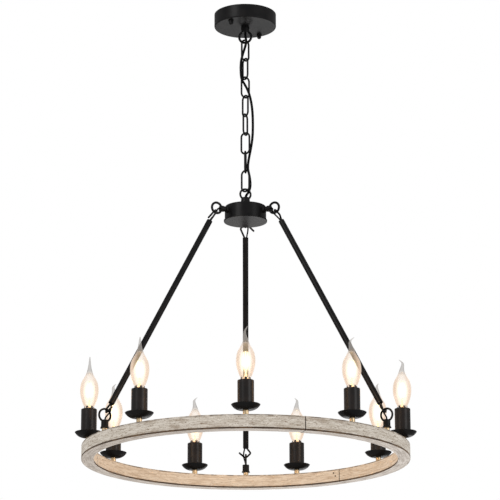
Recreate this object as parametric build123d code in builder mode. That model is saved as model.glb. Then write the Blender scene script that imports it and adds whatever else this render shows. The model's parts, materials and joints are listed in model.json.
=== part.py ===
from build123d import *
import os
from math import asin, atan2, cos, degrees, hypot, pi, radians, sin, sqrt, tan

# Wagon-wheel chandelier. Millimetres, +Z up, origin at the middle of the face that meets the ceiling.
# The photographed near side is -Y. Places round the axis are angles from -Y towards +X.

GAP = 0.3  # between pieces that move against each other
HANG_GAP = 0.7  # between the chain's end links and the loops they hang in
INNER_GAP = 0.2  # between pieces that are fixed together

# Ceiling canopy
CANOPY_R = 63.0
CANOPY_DEPTH = 27.4
CANOPY_WALL = 1.2
CANOPY_EDGE_R = 2.5
CROSSBAR_TURN = 55.0  # from +X
CROSSBAR_LENGTH = 112.0
CROSSBAR_WIDTH = 18.0
CROSSBAR_THICKNESS = 2.0
BOX_HOLE_PCD = 69.85
BOX_HOLE_R = 2.4
STUD_SPACING = 100.0
STUD_R = 2.0
STUD_LENGTH = 32.0
CAP_NUT_R = 5.3
CAP_NUT_LENGTH = 9.6

# Round loops with a wireway through the collar
CANOPY_LOOP_R = 12.3
CANOPY_LOOP_WIRE = 4.8
CANOPY_LOOP_TURN = -10.0
HUB_LOOP_R = 10.75
HUB_LOOP_TURN = 15.0
LOOP_WIRE = 4.0
CORD_BORE_R = 3.3
FEED_BORE_R = 2.1
TOP_SHANK_R = 5.0
SHANK_R = 4.1

# Chain
LINK_WIRE = 3.8
LINK_WIDTH = 21.5
LINK_PITCH = 39.8
LINK_TURNS = (38.0, -57.0, 30.0, -53.0, 63.0, -24.0, 84.0, -33.0)
FIRST_LINK_Z = -77.4

# Hub
HUB_R = 41.5
HUB_TOP_Z = -410.4
HUB_WALL = 1.2
HUB_BOTTOM_Z = -438.6
HUB_EDGE_R = 2.0
HUB_COVER_R = 43.4
HUB_COVER_THICKNESS = 3.0
ARM_COUNT = 3
FIRST_ARM_TURN = 60.0
ARM_LOOP_R = 10.8
ARM_LOOP_WIRE = 4.7
ARM_LOOP_AT = (66.0, -422.0)  # distance from the axis, height

# Ring
RING_R = 320.0
RING_WIDTH = 24.0
RING_TOP_Z = -900.0
RING_HEIGHT = 27.0
RING_WALL = 3.0
STRIP_THICKNESS = 2.5
SEGMENT_COUNT = 3
FIRST_SEAM_TURN = 20.0
SEAM_GAP = 0.8
RING_MID_R = RING_R - RING_WIDTH / 2
RING_LOOP_R = 12.1
RING_LOOP_Z = -867.5
SPACER_R = 5.4
STEM_R = 3.0

# Rods with their wire hooks and feed wires
ROD_R = 5.75
ROD_BORE_R = 4.75
HOOK_WIRE = 3.8
HUB_REACH = 22.5  # from the end of the tube to the middle of the loop's wire
RING_REACH = 15.0
FEED_WIRE = 3.0

# Candles
CANDLE_COUNT = 9
SPACER_HEIGHT = 9.5
CUP_BASE_R = 11.0
CUP_R = 27.0
CUP_DEPTH = 10.4
CUP_WALL = 1.2
SLEEVE_R = 15.3
SLEEVE_TOP_Z = -834.6
SOCKET_R = 9.8
SOCKET_TOP_Z = -829.8
BULB_R = 18.2
BULB_BASE_R = 6.8
BULB_TIPS = (  # turn of the tip's bend, how far it curls over, height of its end
    (0.0, 3.5, -732.5),
    (0.0, 5.0, -737.0),
    (180.0, 4.5, -738.0),
    (0.0, 2.0, -739.0),
    (180.0, 3.0, -740.0),
    (0.0, 4.0, -738.0),
    (0.0, 3.5, -739.0),
    (90.0, 1.0, -731.0),
    (90.0, 1.5, -735.0),
)

# Power cord woven through the chain, from the canopy's cavity to the hub's
CORD_D = 5.0
CORD_ROUTE = (
    (0.0, 0.0, -12.0),
    (0.4, 0.3, -21.0),
    (0.5, 0.3, -30.0),
    (0.2, 0.1, -38.5),
    (0.2, -0.9, -46.0),
    (1.5, -4.6, -53.5),
    (2.3, -6.8, -62.0),
    (-0.4, -4.9, -72.0),
    (-4.3, -1.2, -83.5),
    (-8.2, 0.4, -97.0),
    (-9.4, 0.8, -112.0),
    (-9.0, 1.3, -126.5),
    (-7.7, 2.3, -138.5),
    (-1.2, 1.0, -150.0),
    (5.4, -2.2, -164.0),
    (11.0, -4.6, -183.0),
    (14.6, -4.0, -209.0),
    (15.4, -3.0, -239.0),
    (14.6, -1.4, -265.0),
    (10.8, 2.0, -289.0),
    (6.2, 2.8, -311.0),
    (4.6, 3.4, -328.5),
    (8.0, 2.9, -343.0),
    (9.9, 3.4, -356.0),
    (10.0, 6.7, -367.5),
    (5.9, 7.6, -378.2),
    (0.9, 1.2, -386.5),
    (-0.4, -0.5, -395.9),
    (0.1, 0.3, -407.0),
    (0.4, 0.2, -417.5),
)


# Helpers

def keep(part, node):
    """Label a finished piece and write it under its node's name."""
    part.label = node
    export_step(part, f"parts/{node}.step")


def outward(turn):
    """Level direction at an angle from the near side."""
    return Vector(sin(radians(turn)), -cos(radians(turn)), 0)


def upright_plane(turn, height=0.0):
    """Plane that stands on edge, its X level at an angle from +X, its Y up."""
    along = Vector(cos(radians(turn)), sin(radians(turn)), 0)
    return Plane((0, 0, height), x_dir=along, z_dir=along.cross(Vector(0, 0, 1)))


def near(distance, height, across=0.0):
    """Point on the near side, at a distance from the axis."""
    return Vector(across, -distance, height)


def around(pattern, count, first=0.0):
    """A near-side piece repeated round the axis as one group."""
    with BuildPart() as group:
        with PolarLocations(0, count, start_angle=first):
            add(pattern)
    return group.part


def hexagon_nut(plane, across_flats, thickness, bore):
    """Nut on a plane, growing along its normal."""
    with BuildPart() as nut:
        with BuildSketch(plane):
            RegularPolygon(across_flats / 2, 6, major_radius=False)
            Circle(bore, mode=Mode.SUBTRACT)
        extrude(amount=thickness)
    return nut.part


def easy_bends(points):
    """Radius for each corner of a route: 0.45 of the shorter run over the tangent of half the turn."""
    runs = [b - a for a, b in zip(points, points[1:])]
    radii = []
    for before, after in zip(runs, runs[1:]):
        half_turn = radians(before.get_angle(after)) / 2
        radii.append(0.45 * min(before.length, after.length) / tan(half_turn))
    return radii


def cord(points, diameter, name):
    """Round cord along straight runs joined by tangent arcs."""
    points = [Vector(p) for p in points]
    radii = easy_bends(points)
    with BuildPart() as tube:
        with BuildLine() as route:
            FilletPolyline(*points, radius=radii)
        start = Plane(points[0], z_dir=points[1] - points[0])
        with BuildSketch(start):
            Circle(diameter / 2)
        sweep(path=route.line)
    length = route.wire().length
    solid_length = tube.part.volume / (pi * diameter**2 / 4)
    print(f"{name}: length {length:.1f}, volume over section {solid_length:.1f}, bends", end=" ")
    print(" ".join(f"{radius:.0f}" for radius in radii))
    return tube.part


def wireway_loop(frame, ring_r, wire, bore_r, collar, shank, taper=0.0):
    """Round wire loop whose ends sink into a hollow collar; the frame's normal points up to the loop."""
    collar_r, collar_length = collar
    shank_r, shank_length = shank
    lean = asin((bore_r + wire / 2 + 0.4) / ring_r)
    drop = (ring_r - wire / 2) * cos(lean)
    start = frame.z_dir * -cos(lean) - frame.x_dir * sin(lean)
    with BuildPart() as loop:
        with BuildSketch(Plane(frame.origin, x_dir=start, z_dir=frame.y_dir.cross(start))):
            with Locations((ring_r, 0)):
                Circle(wire / 2)
        revolve(axis=Axis(frame.origin, frame.y_dir), revolution_arc=360 - 2 * degrees(lean))
        with BuildSketch(frame.offset(-drop)):
            Circle(collar_r)
        extrude(amount=-collar_length, taper=-taper)
        with BuildSketch(frame.offset(-drop - collar_length)):
            Circle(shank_r)
        extrude(amount=-shank_length)
        with BuildSketch(frame.offset(-drop)):
            Circle(bore_r)
        extrude(amount=-collar_length - shank_length, mode=Mode.SUBTRACT)
    return loop.part


# Heights and places worked out from the driving dimensions

LINK_BOW_R = (LINK_WIDTH - LINK_WIRE) / 2
LINK_REACH = (LINK_PITCH + LINK_WIRE + GAP) / 2  # middle of a link to the middle of its end wire
canopy_loop_z = FIRST_LINK_Z + LINK_REACH - (LINK_WIRE + CANOPY_LOOP_WIRE) / 2 - HANG_GAP + CANOPY_LOOP_R
last_link_z = FIRST_LINK_Z - LINK_PITCH * (len(LINK_TURNS) - 1)
hub_loop_z = last_link_z - LINK_REACH + (LINK_WIRE + LOOP_WIRE) / 2 + HANG_GAP - HUB_LOOP_R
ring_bottom_z = RING_TOP_Z - RING_HEIGHT
strip_top_z = ring_bottom_z + STRIP_THICKNESS
ring_ceiling_z = RING_TOP_Z - RING_WALL

# A rod runs between the wires of its two loops, seen from the side
arm_r, arm_z = ARM_LOOP_AT
rod_lean = atan2(RING_MID_R - arm_r, arm_z - RING_LOOP_Z)
for refine in range(6):
    top_r = arm_r + ARM_LOOP_R * sin(rod_lean)
    top_z = arm_z - ARM_LOOP_R * cos(rod_lean)
    foot_r = RING_MID_R - RING_LOOP_R * sin(rod_lean)
    foot_z = RING_LOOP_Z + RING_LOOP_R * cos(rod_lean)
    rod_lean = atan2(foot_r - top_r, top_z - foot_z)
rod_span = hypot(foot_r - top_r, top_z - foot_z)
rod_way = Vector(0, -sin(rod_lean), -cos(rod_lean))
hub_end = Plane(near(top_r, top_z), x_dir=(1, 0, 0), z_dir=rod_way)
ring_end = Plane(near(foot_r, foot_z), x_dir=(-1, 0, 0), z_dir=rod_way * -1)
print(f"rod: lean {degrees(rod_lean):.2f}, span {rod_span:.2f}, pivot {top_r:.2f} {top_z:.2f}")
print(f"loops: canopy {canopy_loop_z:.2f}, hub {hub_loop_z:.2f}")

os.makedirs("parts", exist_ok=True)

# Canopy cover: a shallow drum, open at the ceiling

canopy_floor_z = CANOPY_WALL - CANOPY_DEPTH
crossbar_plane = Plane.XY.rotated((0, 0, CROSSBAR_TURN))
with BuildPart() as canopy_cover:
    with BuildSketch(Plane.XZ):
        with BuildLine():
            Polyline(
                (TOP_SHANK_R + INNER_GAP, -CANOPY_DEPTH),
                (CANOPY_R, -CANOPY_DEPTH),
                (CANOPY_R, 0),
                (CANOPY_R - CANOPY_WALL, 0),
                (CANOPY_R - CANOPY_WALL, canopy_floor_z),
                (TOP_SHANK_R + INNER_GAP, canopy_floor_z),
                close=True,
            )
        make_face()
    revolve(axis=Axis.Z)
    fillet(canopy_cover.edges().group_by(Axis.Z)[0].sort_by(SortBy.RADIUS)[-1], CANOPY_EDGE_R)
    fillet(
        canopy_cover.edges().filter_by(GeomType.CIRCLE).filter_by_position(
            Axis.Z, canopy_floor_z - 0.01, canopy_floor_z + 0.01
        ).sort_by(SortBy.RADIUS)[-1],
        CANOPY_EDGE_R - CANOPY_WALL,
    )
    with BuildSketch(crossbar_plane.offset(-CANOPY_DEPTH)):
        with GridLocations(STUD_SPACING, 0, 2, 1):
            Circle(STUD_R + GAP)
    extrude(amount=CANOPY_WALL, mode=Mode.SUBTRACT)
keep(canopy_cover.part, "canopy_cover")

# Crossbar: flat strap screwed to the ceiling box, drilled for box screws, studs and ground screw

GROUND_SCREW_AT = 18.0
GROUND_SCREW_R = 1.7
with BuildPart() as crossbar:
    with BuildSketch(crossbar_plane):
        RectangleRounded(CROSSBAR_LENGTH, CROSSBAR_WIDTH, 4)
        with GridLocations(BOX_HOLE_PCD, 0, 2, 1):
            Circle(BOX_HOLE_R, mode=Mode.SUBTRACT)
        with GridLocations(STUD_SPACING, 0, 2, 1):
            Circle(STUD_R, mode=Mode.SUBTRACT)
        with Locations((GROUND_SCREW_AT, 0)):
            Circle(GROUND_SCREW_R, mode=Mode.SUBTRACT)
    extrude(amount=-CROSSBAR_THICKNESS)
keep(crossbar.part, "crossbar")

with BuildPart() as crossbar_studs:
    with BuildSketch(crossbar_plane):
        with GridLocations(STUD_SPACING, 0, 2, 1):
            Circle(STUD_R)
    extrude(amount=-STUD_LENGTH)
    chamfer(crossbar_studs.edges().group_by(Axis.Z)[0], 0.5)
keep(crossbar_studs.part, "crossbar_studs")

with BuildPart() as ground_screw:
    with BuildSketch(crossbar_plane.offset(-CROSSBAR_THICKNESS)):
        with Locations((GROUND_SCREW_AT, 0)):
            RegularPolygon(3.4, 6, major_radius=False)
    extrude(amount=-2.4)
    with BuildSketch(crossbar_plane.offset(-CROSSBAR_THICKNESS)):
        with Locations((GROUND_SCREW_AT, 0)):
            Circle(GROUND_SCREW_R)
    extrude(amount=CROSSBAR_THICKNESS)
keep(ground_screw.part, "ground_screw")

# Cap nuts: domed thumb nuts on the studs, tight against the canopy

CAP_FLANGE_HEIGHT = 2.0
CAP_WAIST_R = 4.3
dome_z = CAP_WAIST_R - CAP_NUT_LENGTH
with BuildPart() as cap_nut:
    with BuildSketch(Plane.XZ):
        with BuildLine():
            Polyline(
                (0, -CAP_NUT_LENGTH),
                (0, 0),
                (CAP_NUT_R, 0),
                (CAP_NUT_R, -CAP_FLANGE_HEIGHT),
                (CAP_WAIST_R, -CAP_FLANGE_HEIGHT - 0.8),
                (CAP_WAIST_R, dome_z),
            )
            ThreePointArc(
                (CAP_WAIST_R, dome_z),
                (CAP_WAIST_R * sqrt(0.5), dome_z - CAP_WAIST_R * sqrt(0.5)),
                (0, -CAP_NUT_LENGTH),
            )
        make_face()
    revolve(axis=Axis.Z)
    with BuildSketch(Plane.XY):
        Circle(STUD_R)
    extrude(amount=CANOPY_DEPTH - STUD_LENGTH - 0.2, mode=Mode.SUBTRACT)
with BuildPart() as cap_nuts:
    with Locations(crossbar_plane.offset(-CANOPY_DEPTH)):
        with GridLocations(STUD_SPACING, 0, 2, 1):
            add(cap_nut.part)
keep(cap_nuts.part, "cap_nuts")

# Canopy loop, with its shank through the canopy and a nut inside

canopy_loop_frame = Plane(
    (0, 0, canopy_loop_z),
    x_dir=(cos(radians(CANOPY_LOOP_TURN)), sin(radians(CANOPY_LOOP_TURN)), 0),
    z_dir=(0, 0, -1),
)
canopy_lean = asin((CORD_BORE_R + CANOPY_LOOP_WIRE / 2 + 0.4) / CANOPY_LOOP_R)
canopy_drop = (CANOPY_LOOP_R - CANOPY_LOOP_WIRE / 2) * cos(canopy_lean)
CANOPY_SHANK = 13.0
canopy_loop = wireway_loop(
    canopy_loop_frame,
    CANOPY_LOOP_R,
    CANOPY_LOOP_WIRE,
    CORD_BORE_R,
    (7.2, -CANOPY_DEPTH - canopy_loop_z - canopy_drop),
    (TOP_SHANK_R, CANOPY_SHANK),
    taper=7,
)
keep(canopy_loop, "canopy_loop")
keep(
    hexagon_nut(Plane.XY.offset(canopy_floor_z), 14, 4, TOP_SHANK_R),
    "canopy_loop_nut",
)

# Wire connectors: tapered twist-on caps, lying in the canopy's cavity beside the crossbar

CONNECTOR_LENGTH = 21.0
CONNECTOR_R = 4.8


def wire_connectors(plane, places):
    """Tapered caps lying along the plane's X, side by side."""
    with BuildPart() as group:
        for across in places:
            base = Plane(
                plane.from_local_coords((-CONNECTOR_LENGTH / 2, across, 0)), z_dir=plane.x_dir
            )
            with BuildSketch(base):
                Circle(CONNECTOR_R)
                Circle(CONNECTOR_R - 1.2, mode=Mode.SUBTRACT)
            extrude(amount=CONNECTOR_LENGTH * 0.7)
            with BuildSketch(base.offset(CONNECTOR_LENGTH * 0.7)):
                Circle(CONNECTOR_R)
            extrude(amount=CONNECTOR_LENGTH * 0.3, taper=22)
    return group.part


keep(wire_connectors(crossbar_plane.offset(-14), (21, 32, 43)), "canopy_wire_connectors")

# Chain: each link hangs in the one above, its plane turned about the vertical

link_straight = LINK_REACH - LINK_BOW_R


def chain_link(height, turn):
    """Oval link of round wire standing on end."""
    face = upright_plane(turn)
    with BuildPart() as link:
        for end, way in ((height + link_straight, 1), (height - link_straight, -1)):
            level = Plane((0, 0, end), x_dir=face.x_dir)
            with BuildSketch(level):
                with Locations((LINK_BOW_R, 0)):
                    Circle(LINK_WIRE / 2)
            revolve(axis=Axis((0, 0, end), face.z_dir * way), revolution_arc=180)
        with BuildSketch(Plane((0, 0, height - link_straight), x_dir=face.x_dir)):
            with Locations((LINK_BOW_R, 0), (-LINK_BOW_R, 0)):
                Circle(LINK_WIRE / 2)
        extrude(amount=2 * link_straight)
    return link.part


for number, turn in enumerate(LINK_TURNS):
    keep(chain_link(FIRST_LINK_Z - number * LINK_PITCH, turn), f"chain_link_{number + 1}")

keep(cord(CORD_ROUTE, CORD_D, "power_cord"), "power_cord")

# Hub: a drum shell closed below by a slightly wider cover

with BuildPart() as hub_shell:
    with BuildSketch(Plane.XZ):
        with BuildLine():
            Polyline(
                (TOP_SHANK_R + INNER_GAP, HUB_TOP_Z),
                (HUB_R, HUB_TOP_Z),
                (HUB_R, HUB_BOTTOM_Z),
                (HUB_R - HUB_WALL, HUB_BOTTOM_Z),
                (HUB_R - HUB_WALL, HUB_TOP_Z - HUB_WALL),
                (TOP_SHANK_R + INNER_GAP, HUB_TOP_Z - HUB_WALL),
                close=True,
            )
        make_face()
    revolve(axis=Axis.Z)
    fillet(hub_shell.edges().group_by(Axis.Z)[-1].sort_by(SortBy.RADIUS)[-1], HUB_EDGE_R)
    for number in range(ARM_COUNT):
        way = outward(FIRST_ARM_TURN + number * 360 / ARM_COUNT)
        with BuildSketch(Plane(way * (HUB_R - 4) + Vector(0, 0, arm_z), z_dir=way)):
            Circle(SHANK_R + INNER_GAP)
        extrude(amount=6, mode=Mode.SUBTRACT)
keep(hub_shell.part, "hub_shell")

COVER_RIM_HEIGHT = 7.0
with BuildPart() as hub_cover:
    with BuildSketch(Plane.XY.offset(HUB_BOTTOM_Z)):
        Circle(HUB_COVER_R)
    extrude(amount=-HUB_COVER_THICKNESS)
    fillet(hub_cover.edges().group_by(Axis.Z)[0], 1.0)
    with BuildSketch(Plane.XY.offset(HUB_BOTTOM_Z)):
        Circle(HUB_R - HUB_WALL - 0.1)
        Circle(HUB_R - HUB_WALL - 1.1, mode=Mode.SUBTRACT)
    extrude(amount=COVER_RIM_HEIGHT)
keep(hub_cover.part, "hub_cover")

hub_loop_frame = Plane(
    (0, 0, hub_loop_z),
    x_dir=(cos(radians(HUB_LOOP_TURN)), sin(radians(HUB_LOOP_TURN)), 0),
    z_dir=(0, 0, 1),
)
hub_lean = asin((CORD_BORE_R + LOOP_WIRE / 2 + 0.4) / HUB_LOOP_R)
hub_drop = (HUB_LOOP_R - LOOP_WIRE / 2) * cos(hub_lean)
hub_top_loop = wireway_loop(
    hub_loop_frame,
    HUB_LOOP_R,
    LOOP_WIRE,
    CORD_BORE_R,
    (8.4, hub_loop_z - hub_drop - HUB_TOP_Z),
    (TOP_SHANK_R, 14.0),
    taper=5,
)
keep(hub_top_loop, "hub_top_loop")
keep(
    hexagon_nut(Plane.XY.offset(HUB_TOP_Z - HUB_WALL - 4), 14, 4, TOP_SHANK_R),
    "hub_top_loop_nut",
)

# Hub arm loops: one for each rod, screwed through the hub's wall, with a nut on each side of it

ARM_COLLAR_LENGTH = 8.0
arm_frame = Plane(near(arm_r, arm_z), x_dir=(0, 0, 1), z_dir=(0, -1, 0))
arm_loop = wireway_loop(
    arm_frame, ARM_LOOP_R, ARM_LOOP_WIRE, FEED_BORE_R, (6.2, ARM_COLLAR_LENGTH), (SHANK_R, 16.0)
)
for number in range(ARM_COUNT):
    turn = FIRST_ARM_TURN + number * 360 / ARM_COUNT
    keep(arm_loop.rotate(Axis.Z, turn), f"hub_arm_loop_{number + 1}")
inner_nut = hexagon_nut(
    Plane(near(HUB_R - HUB_WALL - 4.6, arm_z), z_dir=(0, -1, 0)), 12, 3.4, SHANK_R
)
outer_nut = hexagon_nut(Plane(near(HUB_R + 0.2, arm_z), z_dir=(0, -1, 0)), 12, 4, SHANK_R)
with BuildPart() as arm_nuts:
    add(inner_nut)
    add(outer_nut)
keep(around(arm_nuts.part, ARM_COUNT, FIRST_ARM_TURN), "hub_arm_nuts")

keep(wire_connectors(Plane.XY.offset(-432), (-9.5, 9.5)), "hub_wire_connectors")

# Rods: straight tubes, each with a wire hook at both ends

tube_length = rod_span - HUB_REACH - RING_REACH
with BuildPart() as rod_tube:
    with BuildSketch(hub_end.offset(HUB_REACH)):
        Circle(ROD_R)
        Circle(ROD_BORE_R, mode=Mode.SUBTRACT)
    extrude(amount=tube_length)

PLUG_LENGTH = 7.0
LEG_OFFSET = 2.5
FEED_OFFSET = 2.2
HOOK_SIDE = (10.2, 3.8)  # the hook's corners beside and under the loop's wire
HOOK_FOOT = (-0.6, -7.2)
HUB_HOOK_TIP = (-17.5, 9.5)
RING_HOOK_TIP = (-14.0, 5.0)
HOOK_BENDS = (4.0, 3.0, 5.5)


def wire_hook(end, reach, tip_at):
    """Plug in the tube's end with an open wire hook; the end's normal runs into the tube."""
    plug_points = ((LEG_OFFSET, reach + PLUG_LENGTH), (LEG_OFFSET, reach - 1.0))
    with BuildPart() as hook:
        with BuildLine(Plane(end.origin, x_dir=end.x_dir, z_dir=end.y_dir * -1)) as bent:
            FilletPolyline(*plug_points, HOOK_SIDE, HOOK_FOOT, tip_at, radius=HOOK_BENDS)
        with BuildSketch(Plane(bent.line @ 0, z_dir=bent.line % 0)):
            Circle(HOOK_WIRE / 2)
        sweep(path=bent.line)
        tip = bent.line @ 1
        fillet(hook.edges().filter_by(GeomType.CIRCLE).sort_by_distance(tip)[0], 0.8)
        with BuildSketch(end.offset(reach)):
            Circle(ROD_BORE_R - 0.05)
        extrude(amount=PLUG_LENGTH)
        with BuildSketch(end.offset(reach)):
            with Locations((-FEED_OFFSET, 0)):
                Circle(FEED_WIRE / 2 + 0.3)
        extrude(amount=PLUG_LENGTH, mode=Mode.SUBTRACT)
    return hook.part


with BuildPart() as rod_hooks:
    add(wire_hook(hub_end, HUB_REACH, HUB_HOOK_TIP))
    add(wire_hook(ring_end, RING_REACH, RING_HOOK_TIP))

# Feed wire: out of the hub loop's wireway, past the hook, down the rod and into the ring loop's wireway

FEED_BY_HUB = ((-3.7, -5.1, -5.8), (-5.2, -4.9, 1.0), (-4.6, -2.6, 9.5), (-2.2, 0, 21.5), (-2.1, 0.1, 35.5))
FEED_BY_RING = ((-2.1, 0.1, 28), (-2.2, 0, 14), (-4.0, -1.8, 7.6), (-5.0, -4.6, 0), (-3.5, -4.2, -7.4))
feed_route = [
    near(29, arm_z),
    near(41, arm_z + 0.2),
    near(54, arm_z + 0.1),
    near(60.6, arm_z, -0.1),
    near(63.4, arm_z - 1.7, -1.7),
]
feed_route += [hub_end.from_local_coords(point) for point in FEED_BY_HUB]
feed_route += [ring_end.from_local_coords(point) for point in FEED_BY_RING]
feed_route += [
    near(RING_MID_R - 0.4, RING_LOOP_Z - 4.8, 0.9),
    near(RING_MID_R, RING_LOOP_Z - 12.2, 0.1),
    near(RING_MID_R + 0.1, RING_LOOP_Z - 23.5),
]
feed_wire = cord(feed_route, FEED_WIRE, "feed_wire")

for number in range(ARM_COUNT):
    turn = FIRST_ARM_TURN + number * 360 / ARM_COUNT
    keep(rod_tube.part.rotate(Axis.Z, turn), f"rod_tube_{number + 1}")
    keep(rod_hooks.part.rotate(Axis.Z, turn), f"rod_hooks_{number + 1}")
    keep(feed_wire.rotate(Axis.Z, turn), f"feed_wire_{number + 1}")

# Ring: three hollow segments, open below and closed by a bottom strip, joined by hidden plates

segment_span = 360 / SEGMENT_COUNT
seam_half = degrees(SEAM_GAP / 2 / RING_MID_R)
candle_turns = [number * 360 / CANDLE_COUNT for number in range(CANDLE_COUNT)]
segment_candles = [t for t in candle_turns if 0 < t - FIRST_SEAM_TURN < segment_span]
SPLICE_HALF_ANGLE = 3.6
SPLICE_THICKNESS = 2.5
SPLICE_SCREW_R = 1.7
SPLICE_SCREWS = ((2.9, -907.0), (2.0, -913.8))  # degrees past the seam, height
ring_inner_r = RING_R - RING_WIDTH
first_seam_plane = upright_plane(FIRST_SEAM_TURN + seam_half - 90)


def splice_screw_planes(seams):
    """Planes on the ring's inner face, facing outward, one for each splice screw by a seam."""
    planes = []
    for seam in seams:
        for angle, height in SPLICE_SCREWS:
            way = outward(seam + angle)
            planes.append(Plane(way * ring_inner_r + Vector(0, 0, height), z_dir=way))
    return planes


with BuildPart() as ring_segment:
    with BuildSketch(first_seam_plane):
        with Locations((RING_MID_R, (RING_TOP_Z + strip_top_z) / 2)):
            body = Rectangle(RING_WIDTH, RING_TOP_Z - strip_top_z)
        fillet(body.vertices().group_by(Axis.Z)[-1], 1.0)
        with Locations((RING_MID_R, (ring_ceiling_z + strip_top_z) / 2)):
            Rectangle(RING_WIDTH - 2 * RING_WALL, ring_ceiling_z - strip_top_z, mode=Mode.SUBTRACT)
    revolve(axis=Axis.Z, revolution_arc=segment_span - 2 * seam_half)
    with BuildSketch(Plane.XY.offset(ring_ceiling_z)):
        for turn in segment_candles + [FIRST_ARM_TURN]:
            way = outward(turn) * RING_MID_R
            with Locations((way.X, way.Y)):
                Circle(STEM_R + INNER_GAP)
    extrude(amount=RING_WALL, mode=Mode.SUBTRACT)
    for plane in splice_screw_planes((FIRST_SEAM_TURN,)):
        with BuildSketch(plane.offset(-1)):
            Circle(SPLICE_SCREW_R)
        extrude(amount=RING_WALL + 2, mode=Mode.SUBTRACT)

with BuildPart() as bottom_strip:
    with BuildSketch(first_seam_plane):
        with Locations((RING_MID_R, (ring_bottom_z + strip_top_z) / 2)):
            strip = Rectangle(RING_WIDTH, STRIP_THICKNESS)
        fillet(strip.vertices().group_by(Axis.Z)[0], 0.8)
    revolve(axis=Axis.Z, revolution_arc=segment_span - 2 * seam_half)

for number in range(SEGMENT_COUNT):
    keep(ring_segment.part.rotate(Axis.Z, number * segment_span), f"ring_segment_{number + 1}")
keep(around(bottom_strip.part, SEGMENT_COUNT), "ring_bottom_strips")

# Splices: a curved plate behind each seam, glued to one segment and screwed to the other from inside

plate_r = ring_inner_r + RING_WALL + 0.1 + SPLICE_THICKNESS / 2
with BuildPart() as splice_plate:
    with BuildSketch(upright_plane(FIRST_SEAM_TURN - SPLICE_HALF_ANGLE - 90)):
        with Locations((plate_r, -912.5)):
            Rectangle(SPLICE_THICKNESS, 18)
    revolve(axis=Axis.Z, revolution_arc=2 * SPLICE_HALF_ANGLE)
    for plane in splice_screw_planes((FIRST_SEAM_TURN,)):
        with BuildSketch(plane):
            Circle(SPLICE_SCREW_R)
        extrude(amount=RING_WALL + SPLICE_THICKNESS + 2, mode=Mode.SUBTRACT)
keep(around(splice_plate.part, SEGMENT_COUNT), "ring_splice_plates")

with BuildPart() as splice_screws:
    for plane in splice_screw_planes((FIRST_SEAM_TURN,)):
        with BuildSketch(plane.offset(0.8)):
            Circle(SPLICE_SCREW_R)
        extrude(amount=RING_WALL + SPLICE_THICKNESS + 0.4)
keep(around(splice_screws.part, SEGMENT_COUNT), "ring_splice_screws")

# Ring loops: one for each rod, standing on a spacer, with a nut inside the ring

LOOP_SPACER_HEIGHT = 7.5
FLANGE_R = 8.8
FLANGE_HEIGHT = 3.6
ring_lean = asin((FEED_BORE_R + LOOP_WIRE / 2 + 0.4) / RING_LOOP_R)
ring_drop = (RING_LOOP_R - LOOP_WIRE / 2) * cos(ring_lean)
flange_z = RING_TOP_Z + LOOP_SPACER_HEIGHT
collar_foot_z = flange_z + FLANGE_HEIGHT
STEM_END_Z = -909.0
ring_loop_frame = Plane(near(RING_MID_R, RING_LOOP_Z), x_dir=(0, 1, 0), z_dir=(0, 0, 1))
ring_loop_base = wireway_loop(
    ring_loop_frame,
    RING_LOOP_R,
    LOOP_WIRE,
    FEED_BORE_R,
    (6.9, RING_LOOP_Z - ring_drop - collar_foot_z),
    (STEM_R, collar_foot_z - STEM_END_Z),
)
with BuildPart() as ring_loop:
    add(ring_loop_base)
    with BuildSketch(Plane(near(RING_MID_R, flange_z))):
        Circle(FLANGE_R)
        Circle(STEM_R - 0.5, mode=Mode.SUBTRACT)
    extrude(amount=FLANGE_HEIGHT, taper=24)
keep(around(ring_loop.part, ARM_COUNT, FIRST_ARM_TURN), "ring_loops")

with BuildPart() as loop_spacer:
    with BuildSketch(Plane(near(RING_MID_R, RING_TOP_Z))):
        Circle(SPACER_R)
        Circle(STEM_R + INNER_GAP, mode=Mode.SUBTRACT)
    extrude(amount=LOOP_SPACER_HEIGHT)
keep(around(loop_spacer.part, ARM_COUNT, FIRST_ARM_TURN), "ring_loop_spacers")

stem_nut = hexagon_nut(Plane(near(RING_MID_R, ring_ceiling_z - 3)), 10, 3, STEM_R)
keep(around(stem_nut, ARM_COUNT, FIRST_ARM_TURN), "ring_loop_nuts")

# Wiring bundle that runs round inside the ring

BUNDLE_R = 2.2
with BuildPart() as ring_wiring:
    with BuildSketch(Plane.XZ):
        with Locations((RING_MID_R + 3, -915)):
            Circle(BUNDLE_R)
    revolve(axis=Axis.Z)
keep(ring_wiring.part, "ring_wiring")

# Candles, modelled on the near side and repeated round the ring

cup_base_z = RING_TOP_Z + SPACER_HEIGHT
cup_rim_z = cup_base_z + CUP_DEPTH
cup_floor_z = cup_base_z + CUP_WALL
candle_axis = Axis((0, -RING_MID_R, 0), (0, 0, 1))
candle_plane = Plane((0, -RING_MID_R, 0), x_dir=(1, 0, 0), z_dir=(0, -1, 0))

with BuildPart() as candle_spacer:
    with BuildSketch(Plane(near(RING_MID_R, RING_TOP_Z))):
        Circle(SPACER_R)
        Circle(STEM_R + INNER_GAP, mode=Mode.SUBTRACT)
    extrude(amount=SPACER_HEIGHT)
keep(around(candle_spacer.part, CANDLE_COUNT), "candle_spacers")

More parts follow.
